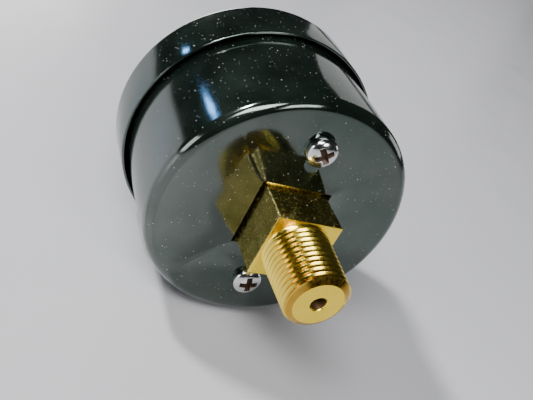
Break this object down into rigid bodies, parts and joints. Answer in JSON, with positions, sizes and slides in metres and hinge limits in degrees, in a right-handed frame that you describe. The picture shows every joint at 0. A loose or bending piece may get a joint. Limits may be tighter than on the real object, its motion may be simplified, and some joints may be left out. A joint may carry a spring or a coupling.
{
  "type": "pressure gauge",
  "caption": "Round dry pressure gauge with a black drawn case and bezel, a Bourdon-tube movement, a square brass shank and a threaded centre back stem.",
  "frame": {"origin": "on the gauge's axis at the shoulder plane where the threaded stem leaves the square shank", "axes": "+Y out along the threaded stem, away from the dial; +Z towards 12 o'clock on the dial; the dial faces -Y"},
  "size_m": [0.0444, 0.046, 0.0444],
  "materials": {
    "black_paint": "gloss black enamel on drawn steel",
    "brass": "machined, slightly dull on the flats and bright on the thread crests",
    "tube_bronze": "drawn phosphor bronze",
    "bright_steel": "bright nickel-plated steel",
    "spring_steel": "blue-grey spring strip",
    "dial_white": "satin white with a printed black scale",
    "pointer_black": "matte black",
    "gasket_rubber": "moulded black rubber",
    "window_clear": "clear pane"
  },
  "bodies": {
    "case": {"case_shell": "black_paint", "bezel_ring": "black_paint", "window": "window_clear", "window_gasket": "gasket_rubber", "stem_socket": "brass", "bourdon_tube": "tube_bronze", "movement_rear_plate": "brass", "movement_front_plate": "brass", "hairspring_stud": "brass", "dial": "dial_white", "stop_pin": "brass", "case_screw_upper": "bright_steel", "case_screw_lower": "bright_steel", "pillar_upper": "brass", "plate_screw_upper": "bright_steel", "pillar_lower": "brass", "plate_screw_lower": "bright_steel", "movement_screw_upper": "bright_steel", "movement_screw_lower": "bright_steel", "dial_post_left": "brass", "dial_screw_left": "bright_steel", "dial_post_right": "brass", "dial_screw_right": "bright_steel"},
    "tube_end": {"tube_tip": "brass", "tip_pin": "bright_steel"},
    "sector": {"sector_gear": "brass", "sector_arbor": "bright_steel", "tail_pin": "bright_steel"},
    "link": {"link": "brass"},
    "pointer": {"pinion_arbor": "bright_steel", "hairspring_collet": "brass", "hairspring": "spring_steel", "pointer": "pointer_black", "pointer_hub": "brass"}
  },
  "joints": [
    {"name": "sector_swing", "type": "hinge", "parent": "case", "child": "sector", "pos_m": [0.00636, -0.018, -0.00636], "axis": [0, 1, 0], "range_deg": [-33.75, 0], "stiffness_Nm_per_rad": 0.0002, "springref_deg": 2.86},
    {"name": "tube_flex", "type": "hinge", "parent": "case", "child": "tube_end", "pos_m": [-0.00329, -0.018, 0.00329], "axis": [0, 1, 0], "range_deg": [-7.25, 0], "deforming": ["bourdon_tube"]},
    {"name": "link_swing", "type": "hinge", "parent": "sector", "child": "link", "pos_m": [0.01025, -0.018, -0.00733], "axis": [0, 1, 0], "range_deg": [0, 39.1]},
    {"name": "pointer_spin", "type": "hinge", "parent": "case", "child": "pointer", "pos_m": [0, -0.018, 0], "axis": [0, 1, 0], "range_deg": [0, 270], "deforming": ["hairspring"]}
  ],
  "couplings": [
    {"joint": "pointer_spin", "follows": "sector_swing", "ratio": -8},
    {"joint": "link_swing", "follows": "sector_swing", "ratio": -1.1567},
    {"joint": "tube_flex", "follows": "sector_swing", "ratio": 0.21375}
  ]
}
